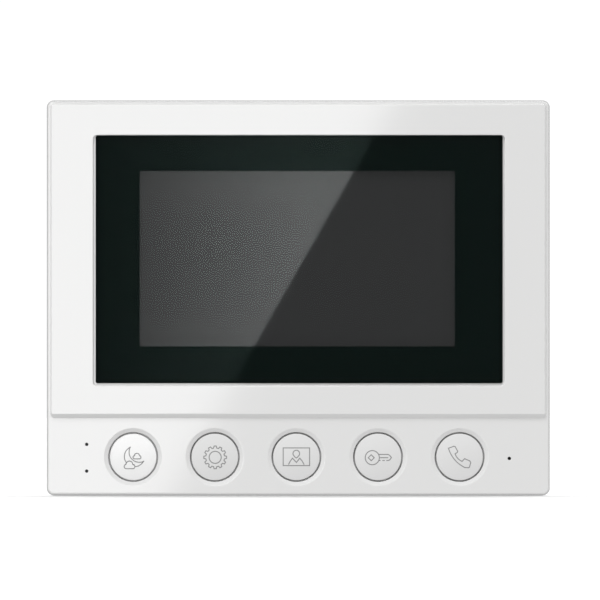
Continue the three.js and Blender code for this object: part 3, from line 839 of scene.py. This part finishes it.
KEPT = {
    "window_tape": FOAM, "lcd_frame": PRESSED, "lcd_backlight": NYLON, "lcd_flex": FILM,
    "main_board": BOARD, "key_board": BOARD, "board_link_cable": RIBBON,
    "processor_chip": EPOXY, "memory_chip": EPOXY, "audio_chip": EPOXY,
    "capacitor_1": CAN, "capacitor_2": CAN, "inductor": FERRITE,
    "light_guide_upper": SMOKED, "light_guide_lower": SMOKED,
    "status_led_upper": NYLON, "status_led_lower": NYLON,
    "microphone_boot": RUBBER, "microphone": FOAM,
    "speaker_gasket": FOAM, "speaker_basket": PRESSED, "speaker_cone": PAPER,
    "speaker_magnet": SCREW, "speaker_clamp": PRESSED,
}
KEPT.update({f"{name}_switch": EPOXY for name in KEYS})
KEPT.update({f"{name}_plunger": RUBBER for name in KEYS})
KEPT.update({f"board_screw_{k}": SCREW for k in (1, 2, 3, 4)})
KEPT.update({f"key_board_screw_{k}": SCREW for k in (1, 2)})


def repaint(node, material):
    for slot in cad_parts[node].material_slots:
        slot.material = material


# ---------------------------------------------------------------------------
# Stage: floor, light and camera
# ---------------------------------------------------------------------------

CAMERA_AWAY = 6.0  # metres from the front face
CARD_AWAY = 1.5  # metres from the front face
EDGE_AT = Vector((-5.0, 0, 0)) * MM  # where the card's edge shows in the face, at mid-height
FRAME_SHARE = 0.8397  # how much of the picture's width the body fills
CAMERA_OFF = Vector((0.53, 0, -0.66)) * MM  # from the middle of the body
SIDE_LIGHT = (0, 1, 0.42, 1.0)  # strength from the front and back, and from the sides
LOW_LIGHT = (-1, 0, 0.45, 0)  # what is added from below
GLOSS_LIGHT = 0.5  # the studio as glossy surfaces reflect it
BACKDROP_LIGHT = 1.05  # the studio as the camera sees it
WINDOW_FADE = (-0.079, 0.0)  # metres along the card, from dark to bright


def add_camera():
    data = bpy.data.cameras.new("camera")
    wide = (BODY[1] - BODY[0]) * MM / FRAME_SHARE
    data.sensor_width = 36
    data.lens = data.sensor_width * CAMERA_AWAY / wide
    data.clip_start = 0.01
    camera = bpy.data.objects.new("camera", data)
    camera.location = Vector((0, FACE_Y * MM - CAMERA_AWAY, 0)) + CAMERA_OFF
    camera.rotation_euler = (math.radians(90), 0, 0)
    bpy.context.scene.collection.objects.link(camera)
    bpy.context.scene.camera = camera
    return camera


def add_floor():
    mesh = bmesh.new()
    bmesh.ops.create_grid(mesh, x_segments=1, y_segments=1, size=4.0)
    data = bpy.data.meshes.new("floor")
    mesh.to_mesh(data)
    mesh.free()
    floor = bpy.data.objects.new("floor", data)
    floor.location = (0, 0, (BODY[2] - 0.1) * MM)
    nodes = Nodes("pale_floor")
    tone = nodes.mix(nodes.noise(300), grey(0.86), grey(0.88))
    nodes.link(tone, nodes.shader.inputs["Base Color"])
    nodes.set(roughness=0.9, specular_ior_level=0.1)
    data.materials.append(nodes.material)
    bpy.context.scene.collection.objects.link(floor)
    floor.visible_glossy = False
    floor.visible_diffuse = False
    return floor


def soft_light(nodes, links):
    """The strength of the studio's light by direction: more from both sides, and more from below."""
    place, split = nodes.new("ShaderNodeTexCoord"), nodes.new("ShaderNodeSeparateXYZ")
    square, total = nodes.new("ShaderNodeMath"), nodes.new("ShaderNodeMath")
    square.operation = "MULTIPLY"
    links.new(place.outputs["Generated"], split.inputs["Vector"])
    for factor in square.inputs[:2]:
        links.new(split.outputs["X"], factor)
    sources = ((square.outputs["Value"], SIDE_LIGHT), (split.outputs["Z"], LOW_LIGHT))
    for (source, numbers), term in zip(sources, total.inputs):
        strength = nodes.new("ShaderNodeMapRange")
        for key, number in zip(RANGE_INPUTS, numbers):
            strength.inputs[key].default_value = number
        links.new(source, strength.inputs["Value"])
        links.new(strength.outputs["Result"], term)
    return total.outputs["Value"]


def add_world():
    """A soft grey studio that the camera sees as white."""
    world = bpy.data.worlds.new("studio")
    world.use_nodes = True
    nodes, links = world.node_tree.nodes, world.node_tree.links
    path = nodes.new("ShaderNodeLightPath")
    result = nodes["Background"].outputs["Background"]
    nodes["Background"].inputs["Color"].default_value = (1, 1, 1, 1)
    links.new(soft_light(nodes, links), nodes["Background"].inputs["Strength"])
    for ray, strength in (("Is Glossy Ray", GLOSS_LIGHT), ("Is Camera Ray", BACKDROP_LIGHT)):
        light, blend = nodes.new("ShaderNodeBackground"), nodes.new("ShaderNodeMixShader")
        light.inputs["Color"].default_value = (1, 1, 1, 1)
        light.inputs["Strength"].default_value = strength
        links.new(path.outputs[ray], blend.inputs["Fac"])
        links.new(result, blend.inputs[1])
        links.new(light.outputs["Background"], blend.inputs[2])
        result = blend.outputs["Shader"]
    links.new(result, nodes["World Output"].inputs["Surface"])
    bpy.context.scene.world = world


def add_light(name, kind, energy, location, target=(0, 0, 0), **settings):
    data = bpy.data.lights.new(name, kind)
    data.energy = energy
    for key, value in settings.items():
        setattr(data, key, value)
    light = bpy.data.objects.new(name, data)
    light.location = location
    light.rotation_euler = (Vector(target) - Vector(location)).to_track_quat("-Z", "Y").to_euler()
    bpy.context.scene.collection.objects.link(light)
    return light


def lit_only(light, objects):
    group = bpy.data.collections.new(f"{light.name}_receivers")
    for obj in objects:
        group.objects.link(obj)
    light.light_linking.receiver_collection = group


def not_lit(light, obj):
    group = bpy.data.collections.new(f"{light.name}_receivers")
    group.objects.link(obj)
    group.collection_objects[0].light_linking.link_state = "EXCLUDE"
    light.light_linking.receiver_collection = group


def add_card(name, radiance, receivers, size=0.9, slanted=True):
    """A bright card in front, reflected in the glossy surfaces. Its right edge is slanted."""
    card = add_light(name, "AREA", radiance * math.pi * size * size, (0, 0, 0), shape="SQUARE", size=size)
    spread = (CARD_AWAY + CAMERA_AWAY) / CAMERA_AWAY
    slant = math.radians(29.7) if slanted else 0
    pole = CAMERA_OFF + (EDGE_AT - CAMERA_OFF) * spread
    outwards = Vector((-math.cos(slant), 0, math.sin(slant))) * size / 2 if slanted else Vector()
    card.location = (pole.x + outwards.x, FACE_Y * MM - CARD_AWAY, pole.z + outwards.z)
    card.rotation_euler = (math.radians(90), slant, 0)
    card.visible_camera = False
    card.visible_diffuse = False
    lit_only(card, receivers)
    return card


def fade_card(card, dark_x, bright_x):
    """Fades a card from black to bright along X."""
    card.data.use_nodes = True
    nodes, links = card.data.node_tree.nodes, card.data.node_tree.links
    split, fade = nodes.new("ShaderNodeSeparateXYZ"), nodes.new("ShaderNodeMapRange")
    for key, number in zip(RANGE_INPUTS, (dark_x, bright_x, 0.0, 1.0)):
        fade.inputs[key].default_value = number
    links.new(nodes.new("ShaderNodeNewGeometry").outputs["Position"], split.inputs["Vector"])
    links.new(split.outputs["X"], fade.inputs["Value"])
    links.new(fade.outputs["Result"], nodes["Emission"].inputs["Strength"])


# ---------------------------------------------------------------------------

add_camera()
add_world()
floor = add_floor()

front = front_cover()
window()
display()
caps = [key_cap(name) for name in KEYS]
for key_name, strokes in zip(KEYS, (moon_icon(), gear_icon(), screen_icon(), key_icon(), handset_icon())):
    icon(key_name, strokes)
rear_cover()
wall_bracket()
for socket_node in ("door_socket_1", "door_socket_2", "power_socket"):
    socket(socket_node)
for screw_node in CASE_SCREWS:
    case_screw(screw_node)
for kept_node, finish in KEPT.items():
    repaint(kept_node, finish)

key = add_light("key", "SUN", 1.62, (-0.25, -0.85, 1.15), angle=math.radians(30))
key.visible_glossy = False
not_lit(key, floor)
rear_fill = add_light("rear_fill", "SUN", 1.3, (0.4, 1.0, 0.7), angle=math.radians(40))
rear_fill.visible_glossy = False
not_lit(rear_fill, floor)
overhead = add_light("overhead", "SUN", 2.6, (0, 0.3, 1.0), angle=math.radians(50))
overhead.visible_glossy = False
lit_only(overhead, [floor])
add_card("card_housing", 2.0, [front])
add_card("card_key", 2.6, [caps[0]], size=2.6, slanted=False)
glass = [bpy.data.objects[name] for name in ("window_pane", "display_glass", "window_border")]
fade_card(add_card("card_window", 2.15, glass), *WINDOW_FADE)

scene = bpy.context.scene
scene.view_settings.view_transform = "Standard"
scene.view_settings.look = "None"
